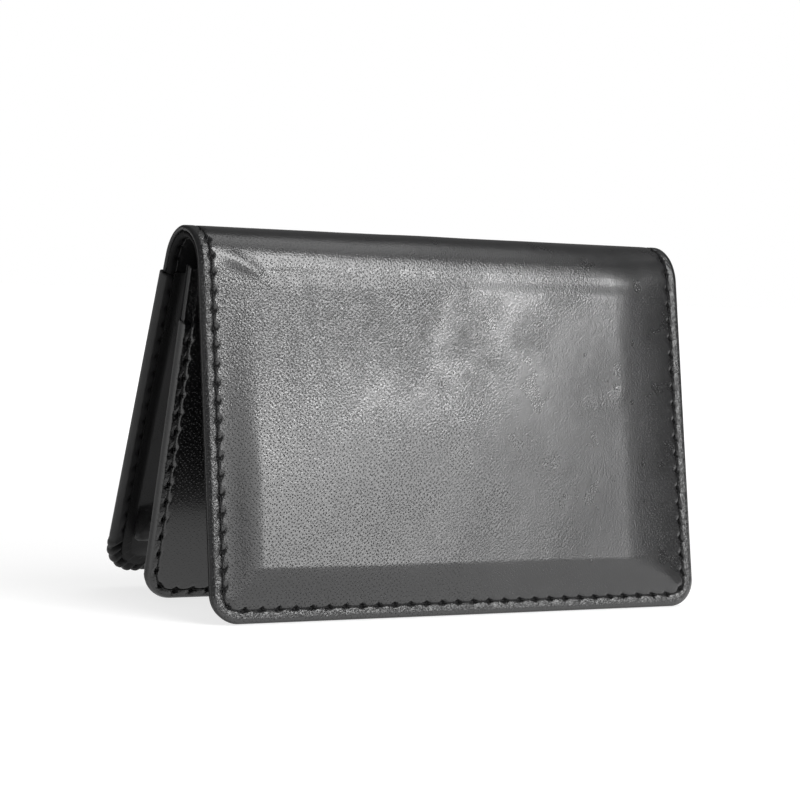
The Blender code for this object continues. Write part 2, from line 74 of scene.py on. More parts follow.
def hang(side, tilt):
    """Where the points of a leaf lie. Each has a place across the wallet, a length down from the
    spine, negative on the arch of the spine itself, and a depth in from the leaf's outer face."""
    def place(x, along, depth):
        radius = ARCH_RADIUS - depth
        turn = tilt - np.minimum(along, 0.0) / ARCH_RADIUS
        drop = np.maximum(along, 0.0)
        y = ARCH_Y + side * (radius * np.cos(turn) + drop * math.sin(tilt))
        z = ARCH_Z + radius * np.sin(turn) - drop * math.cos(tilt)
        return np.stack(np.broadcast_arrays(x, y, z), axis=-1)
    return place


class Leaf(NamedTuple):
    """Outline of a hide, its seam and how many stitches that has, its place, and how its grain runs
    along it, as a start and a direction."""
    half: float
    head: float
    foot: float
    corner: float
    seam: float
    side_stitches: int
    foot_stitches: int
    place: Callable
    grain: tuple = (0.0, 1.0)


FRONT_LEAF = Leaf(54.0 * MM, FRONT_CREST, 66.7 * MM, 5.5 * MM, 2.5 * MM, 22, 29, hang(-1, FRONT_TILT))
SHARP_BEND = 0.001 * MM
RIM_ZONE = 8.0 * MM
EDGE_BEND = 0.8 * MM
EDGE_STEPS = 8
HOLE_STOPS = (0.0, 0.07, 0.15, 0.26, 0.38, 0.5, 0.62, 0.74, 0.85, 0.93)
FACE_INSETS = (0.85, 1.1, 1.35, 1.6, 1.8, 1.98, 2.13, 2.27, 2.4, 2.53, 2.67, 2.82, 3.0, 3.15, 3.3,
               3.45, 3.6, 3.8, 4.1, 4.5, 5.0, 5.6, 6.3, 7.1)
BETWEEN_HOLES = 0.5
SMOOTH_ANGLE = math.radians(60.0)


def edge_points(leaf, inset, stitch):
    """Points of a line round a leaf at an inset, at places counted in stitches from its head."""
    bend = np.maximum(leaf.corner - inset, SHARP_BEND)
    run = leaf.foot - inset - bend - leaf.head
    turn = math.pi / 2 * bend
    level = 2 * (leaf.half - inset - bend)
    side = run + turn / 2
    sides, feet = leaf.side_stitches, leaf.foot_stitches
    from_end = np.minimum(stitch, 2 * sides + feet - stitch)
    on_side = np.minimum(from_end, sides) / sides * side
    distance = on_side + np.maximum(from_end - sides, 0.0) / feet * (turn + level)
    angle = np.clip((distance - run) / bend, 0.0, math.pi / 2)
    x = -(leaf.half - inset) + bend * (1.0 - np.cos(angle)) + np.maximum(distance - run - turn, 0.0)
    along = leaf.head + np.minimum(distance, run) + bend * np.sin(angle)
    return np.where(stitch > sides + feet / 2, -x, x), along


def bend_rings(face, back, hemmed):
    """Rings round the folded edge of a hide, from its hidden side or hem to its face."""
    bend = min(abs(face - back) / 2, EDGE_BEND)
    rings = []
    for step in range(EDGE_STEPS + 1):
        angle = math.pi * step / EDGE_STEPS
        share = 2.0 * step / EDGE_STEPS - 1.0
        depth = (face + back) / 2 + (back - face) / 2 * math.cos(angle)
        rings.append((bend - bend * math.sin(angle), depth, share if hemmed else max(share, 0.0)))
    return rings


def face_rings(face):
    """Rings over the seam to the end of the rim zone, closest together at the seam."""
    return [(inset * MM, face, 1.0) for inset in FACE_INSETS] + [(RIM_ZONE, face, 1.0)]


def turned_rings(face, back, skin, hem=RIM_ZONE - 0.9 * MM):
    """Rings of a hide whose turned edge is thicker, as far in as its hem, than the rest of it."""
    hidden = [(RIM_ZONE, skin, 0.0), (hem + 0.2 * MM, skin, 0.0), (hem, back, 0.0)]
    return hidden + bend_rings(face, back, False) + face_rings(face)


def close_mesh(name, points, polygons, cut, rim):
    """One closed body with its faces outwards, which keeps where each point lies on the hide."""
    mesh = bpy.data.meshes.new(name)
    mesh.from_pydata(points.tolist(), [], polygons)
    shape = bmesh.new()
    shape.from_mesh(mesh)
    if shape.calc_volume(signed=True) < 0.0:
        bmesh.ops.reverse_faces(shape, faces=shape.faces[:])
    shape.to_mesh(mesh)
    shape.free()
    cut_data = mesh.attributes.new("cut", "FLOAT_VECTOR", "POINT").data
    cut_data.foreach_set("vector", (cut / MM).astype(np.float32).ravel())
    rim_data = mesh.attributes.new("rim", "FLOAT", "POINT").data
    rim_data.foreach_set("value", (rim / MM).astype(np.float32))
    mesh.shade_smooth()
    mesh.set_sharp_from_angle(angle=SMOOTH_ANGLE)
    piece = bpy.data.objects.new(name, mesh)
    bpy.context.scene.collection.objects.link(piece)
    return piece


def grid_quads(index):
    """Quads between points that are numbered in rows and columns."""
    corners = [index[..., :-1, :-1], index[..., :-1, 1:], index[..., 1:, 1:], index[..., 1:, :-1]]
    return np.stack(corners, axis=-1).reshape(-1, 4)


def cut_hide(name, leaf, rings, face, under=None, notch=None, stops=HOLE_STOPS):
    """Make one hide as a closed body. Each ring is an inset, a depth and a share of relief: of the
    face's where it is positive and of the hem's or hidden side's where it is negative. A notch says
    how far its folded edge is drawn in."""
    sides, feet = leaf.side_stitches, leaf.foot_stitches
    starts = np.arange(2 * sides + feet)[:, None]
    stitch = np.append((starts + np.array(stops)).ravel(), 2.0 * sides + feet)
    rows, columns, count = sides * len(stops), feet * len(stops), len(stitch)
    stride = max(1, len(stops) // 2)
    parts = []
    for inset, depth, share in rings:
        drawn_in = 0.0 if notch is None else notch(stitch, share)
        x, along = edge_points(leaf, inset + drawn_in, stitch)
        flat = np.ones(count)
        parts.append((x, along, depth * flat, inset * flat, share * flat, stitch))
    total = count * len(rings)
    grids = []
    for ring, step in ((0, stride), (len(rings) - 1, 1)):
        grid = np.zeros((rows + 1, columns + 1), int)
        start = ring * count
        grid[:, 0] = start + np.arange(rows + 1)
        grid[rows, :] = start + rows + np.arange(columns + 1)
        grid[:, columns] = start + count - 1 - np.arange(rows + 1)
        j, i = np.mgrid[0:rows:step, step:columns:step]
        grid[j, i] = total + np.arange(j.size).reshape(j.shape)
        total += j.size
        x, along = parts[ring][0][rows + i].ravel(), parts[ring][1][j].ravel()
        inside = np.minimum(leaf.half - np.abs(x), leaf.foot - along)
        _, depth, share = rings[ring]
        flat = np.ones(j.size)
        parts.append((x, along, depth * flat, inside, share * flat, BETWEEN_HOLES * flat))
        grids.append(grid)
    x, along, depth, inside, share, stitches = (np.concatenate(part) for part in zip(*parts))
    depth = depth + np.maximum(share, 0.0) * face(x, along, inside, stitches)
    if under is not None:
        depth = depth + np.maximum(-share, 0.0) * under(x, along, inside, stitches)

    loops = np.arange(len(rings) * count).reshape(len(rings), count)
    polygons = grid_quads(loops).tolist() + grid_quads(grids[1])[:, ::-1].tolist()
    grid = grids[0]
    for j in range(0, rows, stride):
        for i in range(0, columns, stride):
            low_j, right_i = j + stride, i + stride
            left = grid[j:low_j + 1, i] if i == 0 else grid[[j, low_j], i]
            low = grid[low_j, i:right_i + 1] if low_j == rows else grid[low_j, [i, right_i]]
            right = grid[j:low_j + 1, right_i] if right_i == columns else grid[[j, low_j], right_i]
            polygons.append(left.tolist() + low[1:].tolist() + right[::-1][1:].tolist())
    wall = loops[:, 0].tolist() + grids[1][0, 1:columns].tolist() + loops[::-1, -1].tolist()
    wall += grids[0][0, stride:columns:stride][::-1].tolist()
    polygons.append(wall[::-1])
    grain_start, grain_way = leaf.grain
    cut = np.stack([x, grain_start + grain_way * along, depth], axis=-1)
    return close_mesh(name, leaf.place(x, along, depth), polygons, cut, inside)


STITCH_LENGTH = 3.5 * MM
GROOVE_DEPTH = 0.14 * MM
GROOVE_WIDTH = 0.20 * MM
HOLE_DEPTH = 0.65 * MM
HOLE_WIDTH = 0.55 * MM
BEAD_OFFSET = 1.1 * MM
BEAD_WIDTH = 0.75 * MM
BEAD_HEIGHT = 0.01 * MM
BEAD_PILLOW = 0.06 * MM


def sewn_rim(leaf, inside, stitch):
    """Depth of a sewn rim: the thread pulls a groove with a pit at each needle hole, and leaves the
    leather outside it plump between the holes."""
    off_seam = inside - leaf.seam
    off_hole = (stitch - np.round(stitch)) * STITCH_LENGTH
    groove = GROOVE_DEPTH * np.exp(-(off_seam / GROOVE_WIDTH) ** 2)
    pit = HOLE_DEPTH * np.exp(-(off_seam ** 2 + off_hole ** 2) / HOLE_WIDTH ** 2)
    bead = BEAD_HEIGHT + BEAD_PILLOW * (0.5 - 0.5 * np.cos(2 * np.pi * stitch))
    return groove + pit - bead * np.exp(-((off_seam + BEAD_OFFSET) / BEAD_WIDTH) ** 2)


PAD_LEFT = (2.2 * MM, 8.6 * MM)
PAD_RIGHT = (2.6 * MM, 14.0 * MM)
PAD_FOOT = (2.6 * MM, 7.4 * MM)
PAD_HEAD = (-7.5 * MM, 12.0 * MM)
PAD_RISE = 1.3 * MM
MITRE_POWER = 5.0
SLACK_WIDTH = 40.0 * MM
SLACK_LENGTH = 50.0 * MM
CROWN_HALF = 42.0 * MM
CROWN_LENGTH = 62.0 * MM
PAD_CROWN = 0.35 * MM
VALLEY_PLACE = 1.5 * MM
VALLEY_WIDTH = 1.3 * MM
VALLEY_DEPTH = 0.18 * MM
VALLEY_END = (8.0 * MM, 10.0 * MM)
DENT_HEIGHT = 0.16 * MM
DENT_LENGTH = 20.0 * MM
PULL_START = (3.6 * MM, -2.6 * MM)
PULL_WAY = (0.90, 0.436)
PULL_LENGTH = 12.5 * MM
PULL_HEIGHT = 0.34 * MM
PULL_WIDTH = 1.25 * MM


def ease(value):
    """A smooth step from 0 to 1."""
    value = np.clip(value, 0.0, 1.0)
    return value * value * (3.0 - 2.0 * value)


def slope_up(distance, bevel):
    """An even slope from 0 to 1 with rounded ends, over a bevel's start and length."""
    share = np.clip((distance - bevel[0]) / bevel[1], 0.0, 1.0)
    return 0.6 * share + 0.4 * ease(share)


def mitred(*slopes):
    """The lowest of several slopes, with a slightly rounded mitre where they meet."""
    steep = sum(np.maximum(slope, 0.02) ** -MITRE_POWER for slope in slopes) - len(slopes) + 1.0
    return steep ** (-1.0 / MITRE_POWER)


def pad_rise(x, along):
    """Height of the hide over the pad. It lies slacker at the upper left and is pulled down at the
    right, and bulges a little in the middle."""
    from_left = FRONT_LEAF.half + x
    from_right = FRONT_LEAF.half - x
    slack = (1.0 - ease(along / SLACK_LENGTH)) * (1.0 - ease(from_left / SLACK_WIDTH))
    left = ease((from_left - PAD_LEFT[0]) / PAD_LEFT[1]) * (1.0 - 0.75 * slack)
    right = 1.0 - (1.0 - np.clip((from_right - PAD_RIGHT[0]) / PAD_RIGHT[1], 0.0, 1.0)) ** 1.6
    foot = slope_up(FRONT_LEAF.foot - along, PAD_FOOT)
    head = ease((along - PAD_HEAD[0]) / PAD_HEAD[1])
    crown = np.clip(1.0 - (x / CROWN_HALF) ** 2, 0.0, 1.0)
    crown = crown * np.sin(np.pi * np.clip(along / CROWN_LENGTH, 0.0, 1.0))
    valley = VALLEY_DEPTH * np.exp(-((along - VALLEY_PLACE) / VALLEY_WIDTH) ** 2)
    for from_end in (from_left, from_right):
        valley = valley * ease((from_end - VALLEY_END[0]) / VALLEY_END[1])
    return PAD_RISE * mitred(left, right, foot) * head + PAD_CROWN * crown ** 2 - valley


def dents(x, along, seed):
    """Slow unevenness of stretched leather, from -1 to 1."""
    values = [noise.noise(Vector((a / DENT_LENGTH, b / DENT_LENGTH, seed))) for a, b in zip(x, along)]
    return np.array(values)


def corner_pull(x, along):
    """Height of the slanting fold that the stretched hide throws at the upper left."""
    right, down = FRONT_LEAF.half + x - PULL_START[0], along - PULL_START[1]
    run = (right * PULL_WAY[0] + down * PULL_WAY[1]) / PULL_LENGTH
    off = down * PULL_WAY[0] - right * PULL_WAY[1]
    return PULL_HEIGHT * ease(2.5 * run) * ease(2.5 - 2.5 * run) * np.exp(-(off / PULL_WIDTH) ** 2)


def front_relief(x, along, inside, stitch):
    """Depth of the front hide's face."""
    calm = ease((inside - 4.0 * MM) / (8.0 * MM))
    stretched = pad_rise(x, along) + corner_pull(x, along) + DENT_HEIGHT * calm * dents(x, along, 1.7)
    return sewn_rim(FRONT_LEAF, inside, stitch) - stretched


def shade(code):
    """Linear colour of an sRGB hex value."""
    values = [int(code[i:i + 2], 16) / 255 for i in (1, 3, 5)]
    return [v / 12.92 if v <= 0.04045 else ((v + 0.055) / 1.055) ** 2.4 for v in values] + [1.0]


def add_node(tree, kind, sockets=(), **settings):
    """Add a node with its settings. A socket takes a value, or what it is linked to: an output, or a
    node, which stands for its first output."""
    node = tree.nodes.new("ShaderNode" + kind)
    for key, value in settings.items():
        setattr(node, key, value)
    for key, value in dict(sockets).items():
        if isinstance(value, bpy.types.Node):
            value = value.outputs[0]
        if isinstance(value, bpy.types.NodeSocket):
            tree.links.new(value, node.inputs[key])
        else:
            node.inputs[key].default_value = value
    return node


def new_material(name):
    """A material, and its tree without any nodes."""
    material = bpy.data.materials.new(name)
    material.use_nodes = True
    material.node_tree.nodes.clear()
    return material, material.node_tree


# Places on a hide and depths of its grain are in millimetres, and a scale is one over a size: 3 draws
# wrinkles a third of a millimetre wide. Calf's pores stand closer than the 0.66 mm here, but wouldn't
# show, so they are drawn as coarse as they need to show.
GRAIN_SLANT = (0.0, 0.0, math.radians(-42.0))
GRAIN_STRETCH = (1.12, 0.92, 1.0)
GRAIN_WANDER = 1.1
PIT_EDGE = (0.05, 0.32)
PORE_EDGE = (0.09, 0.22)
PIT_DEPTH = 0.004
PORE_DEPTH = 0.06
WRINKLE_DEPTH = 0.062
SWELL_DEPTH = 0.03
RIM_MIDDLE = 1.45
WORN_ROUGHNESS = 0.3
WORN_COAT = 0.05


def calf_pores(tree, cut, pore_spacing):
    """The slanting flow of the grain, and the shallow pits and open pores that lie along it."""
    slant = add_node(tree, "Mapping", {"Vector": cut, "Rotation": GRAIN_SLANT, "Scale": GRAIN_STRETCH},
                     vector_type="TEXTURE")
    warp = add_node(tree, "TexNoise", {"Vector": cut, "Scale": 0.2, "Detail": 1.0}).outputs["Color"]
    wander = add_node(tree, "VectorMath", {0: warp, "Scale": GRAIN_WANDER}, operation="SCALE")
    flow = add_node(tree, "VectorMath", {0: slant, 1: wander}, operation="ADD")
    pores = add_node(tree, "TexVoronoi", {"Vector": flow, "Scale": 1.0 / pore_spacing,
                                          "Randomness": 0.55}, voronoi_dimensions="2D")
    shapes = [add_node(tree, "MapRange", {"Value": pores, "From Min": near, "From Max": far, "To Min": 1.0,
                                          "To Max": 0.0}, interpolation_type="SMOOTHSTEP")
              for near, far in (PIT_EDGE, PORE_EDGE)]
    return flow, *shapes


def calf_grain(tree, cut, grain, pore_spacing):
    """How open the pores are, and the height of the grain. The pores open towards the left and the
    wrinkles deepen towards the head, as on the looser flank of a skin. The spine stretches both out."""
    flow, pits, pores = calf_pores(tree, cut, pore_spacing)
    across, along, _ = add_node(tree, "SeparateXYZ", {"Vector": cut}).outputs
    bent = add_node(tree, "MapRange", {"Value": along, "From Min": -4.0, "From Max": 4.0, "To Min": 0.3,
                                       "To Max": 1.0})
    patches = add_node(tree, "TexNoise", {"Vector": cut, "Scale": 0.06, "Detail": 2.0})
    flank = add_node(tree, "Math", {0: across, 1: -0.006, 2: patches}, operation="MULTIPLY_ADD")
    share = add_node(tree, "MapRange", {"Value": flank, "From Min": 0.3, "From Max": 0.6,
                                        "To Min": 0.12 * grain, "To Max": grain})
    share = add_node(tree, "Math", {0: share, 1: bent}, operation="MULTIPLY")
    pores = add_node(tree, "Math", {0: pores, 1: share}, operation="MULTIPLY")

    loose = add_node(tree, "Math", {0: flank, 1: 0.52}, operation="MINIMUM")
    loose = add_node(tree, "Math", {0: along, 1: -0.008, 2: loose}, operation="MULTIPLY_ADD")
    depth = add_node(tree, "MapRange", {"Value": loose, "From Min": 0.25, "From Max": 0.42, "To Min": 0.5,
                                        "To Max": 1.9})
    depth = add_node(tree, "Math", {0: depth, 1: bent}, operation="MULTIPLY")
    wrinkles = add_node(tree, "TexNoise", {"Vector": flow, "Scale": 3.0, "Detail": 1.0, "Roughness": 0.5})
    fine = add_node(tree, "Math", {0: pits, 1: -PIT_DEPTH * grain}, operation="MULTIPLY")
    fine = add_node(tree, "Math", {0: wrinkles, 1: WRINKLE_DEPTH * grain, 2: fine},
                    operation="MULTIPLY_ADD")
    fine = add_node(tree, "Math", {0: fine, 1: depth}, operation="MULTIPLY")
    fine = add_node(tree, "Math", {0: pores, 1: -PORE_DEPTH, 2: fine}, operation="MULTIPLY_ADD")
    swell = add_node(tree, "TexNoise", {"Vector": cut, "Scale": 0.3, "Detail": 1.0})
    grained = add_node(tree, "Math", {0: swell, 1: SWELL_DEPTH * grain, 2: fine},
                       operation="MULTIPLY_ADD")
    return pores, grained


def rim_crinkles(tree, cut, rim):
    """Small folds, 0.8 mm wide, where the leather is turned in round a leaf below the spine."""
    off_rim = add_node(tree, "Math", {0: rim, 1: RIM_MIDDLE}, operation="SUBTRACT")
    off_rim = add_node(tree, "Math", {0: off_rim}, operation="ABSOLUTE")
    at_rim = add_node(tree, "MapRange", {"Value": off_rim, "From Min": 0.4, "From Max": 1.1, "To Min": 1.0,
                                         "To Max": 0.0}, interpolation_type="SMOOTHSTEP")
    along = add_node(tree, "SeparateXYZ", {"Vector": cut}).outputs["Y"]
    below = add_node(tree, "MapRange", {"Value": along, "From Min": -9.0, "From Max": -6.0},
                     interpolation_type="SMOOTHSTEP")
    crinkled = add_node(tree, "Math", {0: at_rim, 1: below}, operation="MULTIPLY")
    folds = add_node(tree, "TexNoise", {"Vector": cut, "Scale": 1.3, "Detail": 3.0, "Roughness": 0.6,
                                        "Distortion": 0.4})
    return add_node(tree, "Math", {0: folds, 1: crinkled}, operation="MULTIPLY")


def cut_edge(tree, cut, rim):
    """Where a hide's edge or its hidden side shows, which no polish has reached."""
    inner = add_node(tree, "SeparateXYZ", {"Vector": cut}).outputs["Z"]
    inside = add_node(tree, "MapRange", {"Value": inner, "From Min": 0.1, "From Max": 0.9},
                      interpolation_type="SMOOTHSTEP")
    edge = add_node(tree, "MapRange", {"Value": rim, "From Min": 0.0, "From Max": 0.5, "To Min": 1.0,
                                       "To Max": 0.0}, interpolation_type="SMOOTHSTEP")
    return add_node(tree, "Math", {0: inside, 1: edge}, operation="MAXIMUM")


def finished_calf(name, dye, worn, roughness, coat, shine, grain, pore_spacing, crease):
    """Aniline-dyed calf with a pressed, waxed finish. Its clear coat gives a soft mirror where the
    light is, and the leather is black elsewhere; the coat is missing in the pores and at cut edges."""
    material, tree = new_material(name)
    cut = add_node(tree, "Attribute", attribute_name="cut").outputs["Vector"]
    rim = add_node(tree, "Attribute", attribute_name="rim").outputs["Fac"]
    pores, grained = calf_grain(tree, cut, grain, pore_spacing)
    height = add_node(tree, "Math", {0: rim_crinkles(tree, cut, rim), 1: crease, 2: grained},
                      operation="MULTIPLY_ADD")
    bump = add_node(tree, "Bump", {"Height": height, "Distance": MM, "Strength": 1.0})
    rub = add_node(tree, "TexNoise", {"Vector": cut, "Scale": 0.15, "Detail": 5.0})
    colour = add_node(tree, "MixRGB", {"Fac": rub, "Color1": shade(dye), "Color2": shade(worn)})
    gloss = add_node(tree, "MapRange", {"Value": rub, "To Min": roughness - 0.06,
                                        "To Max": roughness + 0.08})
    bare = add_node(tree, "Math", {0: pores, 1: cut_edge(tree, cut, rim)}, operation="MAXIMUM")
    dull = add_node(tree, "Math", {0: bare, 1: WORN_ROUGHNESS, 2: gloss}, operation="MULTIPLY_ADD")
    coated = add_node(tree, "MapRange", {"Value": bare, "To Min": coat, "To Max": WORN_COAT * coat})
    shader = add_node(tree, "BsdfPrincipled", {
        "Base Color": colour, "Roughness": dull, "IOR": 1.5, "Specular IOR Level": shine, "Normal": bump,
        "Coat Weight": coated, "Coat Roughness": 0.16, "Coat IOR": 1.5, "Coat Normal": bump})
    add_node(tree, "OutputMaterial", {"Surface": shader})
    return material


# Polished on a wheel: the light lies on it as a soft bright patch, which the grain breaks up.
COVER_CALF = finished_calf("polished_black_calf", dye="#141415", worn="#1d1d1e", roughness=0.28,
                           coat=1.0, shine=0.5, grain=1.0, pore_spacing=0.66, crease=0.32)
BEND_REACH = 3.6 * MM


def finish_piece(piece, material, slot_name, *nodes):
    """Give a piece its material, and let it stand for its solids. Its slot_name is not used."""
    piece.data.materials.append(material)
    if nodes:
        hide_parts(*nodes)
    return piece


def bend_at_crease(piece, leaf, crease_tilt):
    """Bake a piece's place into its mesh. The ends of a span a few millimetres on each side of the crease,
    where it would bend from the spine into a leaf, are worked out but not used.
    """
    crease = -(CREASE_ANGLE - crease_tilt) * ARCH_RADIUS
    start, end = (leaf.place(0.0, crease + offset, MM) for offset in (-BEND_REACH, BEND_REACH))
    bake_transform(piece)


def under_pad(x, along, inside, stitch):
    """The hidden side of the front hide leaves room for the pad."""
    return -pad_rise(x, along)


front_rings = turned_rings(0.0, 1.2 * MM, 0.9 * MM)
for ring in (0, 1):
    front_rings[ring] = front_rings[ring][:2] + (-1.0,)
front_hide = cut_hide("front_hide", FRONT_LEAF, front_rings, front_relief, under_pad)
finish_piece(front_hide, COVER_CALF, "cover_hide", "front_cover", "spine_cover")
bend_at_crease(front_hide, FRONT_LEAF, FRONT_TILT)

# The pad. A sheet of dense grey felt, pressed flat with bevelled edges, lies under the front hide
# on the board. It is glued there, and the stretched hide takes its shape.
PAD_STOPS = (0.0, 0.5)
PAD_FACE = 0.9 * MM
PAD_BACK = 0.95 * MM
PAD_LEAF = Leaf(46.0 * MM, -1.5 * MM, 59.5 * MM, 3.0 * MM, MM, 40, 60, FRONT_LEAF.place)


def pressed_felt():
    """Grey wool felt: matt, with a short tangle of fibres in 0.4 mm clumps."""
    material, tree = new_material("pressed_wool_felt")
    cut = add_node(tree, "Attribute", attribute_name="cut").outputs["Vector"]
    tangle = add_node(tree, "TexNoise", {"Vector": cut, "Scale": 2.5, "Detail": 6.0, "Distortion": 2.0})
    colour = add_node(tree, "MixRGB", {"Fac": tangle, "Color1": shade("#5d5c59"),
                                       "Color2": shade("#8b8a86")})
    bump = add_node(tree, "Bump", {"Height": tangle, "Distance": 0.3 * MM, "Strength": 0.7})
    shader = add_node(tree, "BsdfPrincipled", {"Base Color": colour, "Roughness": 0.9,
                                               "Sheen Weight": 0.3, "Normal": bump})
    add_node(tree, "OutputMaterial", {"Surface": shader})
    return material


def pad_relief(x, along, inside, stitch):
    """The pad's face lies just under the hide."""
    return 0.03 * MM - pad_rise(x, along)


pad_rings = [(4.0 * MM, PAD_BACK, 0.0), (0.0, PAD_BACK, 0.0), (0.0, PAD_FACE, 0.8),
             (0.15 * MM, PAD_FACE, 1.0), (2.0 * MM, PAD_FACE, 1.0), (4.0 * MM, PAD_FACE, 1.0)]
pad = cut_hide("felt_pad", PAD_LEAF, pad_rings, pad_relief, stops=PAD_STOPS)
finish_piece(pad, pressed_felt(), "padding", "front_pad")
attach(pad, "front_leaf")

# The front lining. Softer, matt black calf lines the front half of the spine and the front leaf.
# Its turned edge is sewn to the hide's, and the two rims meet in a narrow dark line.
# Drummed soft and left unpolished, so it stays nearly black and its grain hardly glints.
LINING_CALF = finished_calf("matt_black_lining_calf", dye="#121213", worn="#1a1a1b", roughness=0.5,
                            coat=0.1, shine=0.22, grain=0.7, pore_spacing=0.6, crease=0.15)
LINING_BACK = 1.3 * MM
LINING_FACE = 2.2 * MM
LINING_SKIN = 1.6 * MM
FRONT_LINING = Leaf(53.7 * MM, FRONT_CREST, 66.35 * MM, 5.2 * MM, 2.2 * MM, 22, 29, FRONT_LEAF.place)


def lining_relief(leaf):
    """The lining's face looks inwards, so its seam sinks towards the outside."""
    def relief(x, along, inside, stitch):
        return -sewn_rim(leaf, inside, stitch)
    return relief


lining_rings = turned_rings(LINING_FACE, LINING_BACK, LINING_SKIN)
front_lining = cut_hide("front_lining_hide", FRONT_LINING, lining_rings, lining_relief(FRONT_LINING))
finish_piece(front_lining, LINING_CALF, "lining_hide", "front_lining", "spine_lining")
bend_at_crease(front_lining, FRONT_LINING, FRONT_TILT)

# The front slip pocket. One flat piece of the lining calf is sewn to the inside of the front leaf
# at its sides and foot. Its upper edge is turned and left open for cards.
MOUTH_BEND = 0.35 * MM


def stitch_pitch(leaf):
    """Length of one stitch down the side of a leaf."""
    bend = leaf.corner - leaf.seam
    side = leaf.foot - leaf.seam - bend - leaf.head + math.pi / 4 * bend
    return side / leaf.side_stitches


def pocket_on(leaf, skipped, grown):
    """Outline of a pocket sewn with the seam of the leaf that carries it, its mouth at a needle hole."""
    head = leaf.head + skipped * stitch_pitch(leaf)
    return leaf._replace(half=leaf.half + grown, head=head, foot=leaf.foot + grown,
                         corner=leaf.corner + grown, seam=leaf.seam + grown,
                         side_stitches=leaf.side_stitches - skipped)


def rounded_mouth(leaf, along):
    """How far the face of a pocket falls away at its mouth."""
    near = np.clip(MOUTH_BEND - (along - leaf.head), 0.0, MOUTH_BEND)
    return MOUTH_BEND - np.sqrt(MOUTH_BEND ** 2 - near ** 2)


FRONT_POCKET = pocket_on(FRONT_LINING, 7, -0.4 * MM)
POCKET_BACK = 2.25 * MM
POCKET_FACE = 2.95 * MM


def front_pocket_relief(x, along, inside, stitch):
    """The inner pocket's face looks inwards too."""
    return -sewn_rim(FRONT_POCKET, inside, stitch) - rounded_mouth(FRONT_POCKET, along)


pocket_rings = turned_rings(POCKET_FACE, POCKET_BACK, POCKET_BACK)
front_pocket = cut_hide("front_inner_pocket", FRONT_POCKET, pocket_rings, front_pocket_relief)
finish_piece(front_pocket, LINING_CALF, "lining_hide", "front_slip_pocket")
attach(front_pocket, "front_leaf")

# The back hide. The same polished calf covers the back half of the spine, where its grain runs on
# from the front hide's, and the back leaf. Most of it is under the outer slip pocket.
BACK_LEAF = Leaf(54.0 * MM, BACK_CREST, 68.0 * MM, 5.0 * MM, 1.9 * MM, 22, 29, hang(1, BACK_TILT),
                 (FRONT_CREST + BACK_CREST, -1.0))
BACK_POCKET = pocket_on(BACK_LEAF, 4, 0.55 * MM)


def back_relief(x, along, inside, stitch):
    """Depth of the back hide's face, whose seam shows above the pocket alone."""
    return sewn_rim(BACK_LEAF, inside, stitch) * (along < BACK_POCKET.head + 0.1 * MM)


back_hide = cut_hide("back_hide", BACK_LEAF, turned_rings(0.0, 0.9 * MM, 0.9 * MM), back_relief)
finish_piece(back_hide, COVER_CALF, "cover_hide", "back_cover")
bend_at_crease(back_hide, BACK_LEAF, BACK_TILT)

# The back lining. It lines the back half of the spine and the back leaf, and dips under the hem of
# the outer pocket where that is folded in over the leaf's edge.
HEM_WIDTH = 6.3 * MM
HEM_DIP = 0.6 * MM
BACK_LINING = Leaf(53.7 * MM, BACK_CREST, 67.7 * MM, 4.7 * MM, 1.6 * MM, 22, 29, BACK_LEAF.place,
                   (FRONT_CREST + BACK_CREST, -1.0))


def hem_dip(mouth, along, inside):
    """1 where a layer lies under the folded hem of a pocket, which begins at the pocket's mouth."""
    return (along > mouth - 0.05 * MM) * (1.0 - ease((inside - HEM_WIDTH + 0.7 * MM) / (0.5 * MM)))


def back_lining_relief(x, along, inside, stitch):
    """The face of the back lining, which looks inwards."""
    dip = hem_dip(BACK_POCKET.head, along, inside)
    return -sewn_rim(BACK_LINING, inside, stitch) * (dip == 0.0) - HEM_DIP * dip


back_lining_rings = turned_rings(LINING_FACE, 0.95 * MM, LINING_SKIN)
back_lining = cut_hide("back_lining_hide", BACK_LINING, back_lining_rings, back_lining_relief)
finish_piece(back_lining, LINING_CALF, "lining_hide", "back_lining")
bend_at_crease(back_lining, BACK_LINING, BACK_TILT)

# The outer slip pocket. Smoother polished calf covers the back leaf from just under the spine, and is
# folded over the leaf's sides and foot to a hem on its inner face. At the corners the hem is gathered
# into small pleats that fan out from the bend.
# Plated with a hot, smooth press: a fainter grain, and an even sheen along the folded edges.
SMOOTH_CALF = finished_calf("smooth_black_calf", dye="#141415", worn="#1d1d1e", roughness=0.32,
                            coat=0.9, shine=0.5, grain=0.4, pore_spacing=0.72, crease=0.2)
PLEAT_PITCH = 1.9 * MM
PLEAT_DEPTH = 0.50 * MM
PLEAT_NOTCH = 0.22 * MM
PLEAT_REACH = 6.0 * MM
BACK_POCKET_FACE = -0.68 * MM


def wrapped_rings(face, skin, lip, hem_floor, hem_face):
    """Rings of a pocket whose leather is folded over an edge to a hem on the other side."""
    rings = [(RIM_ZONE, skin, 0.0), (lip, skin, 0.0), (lip, hem_floor, 0.0), (HEM_WIDTH, hem_floor, 0.0),
             (HEM_WIDTH, hem_face - 0.2 * MM, -1.0)]
    hem = [(inset * MM, hem_face, -1.0) for inset in FACE_INSETS[::-1] if inset * MM < HEM_WIDTH]
    return rings + hem + bend_rings(face, hem_face, True) + face_rings(face)


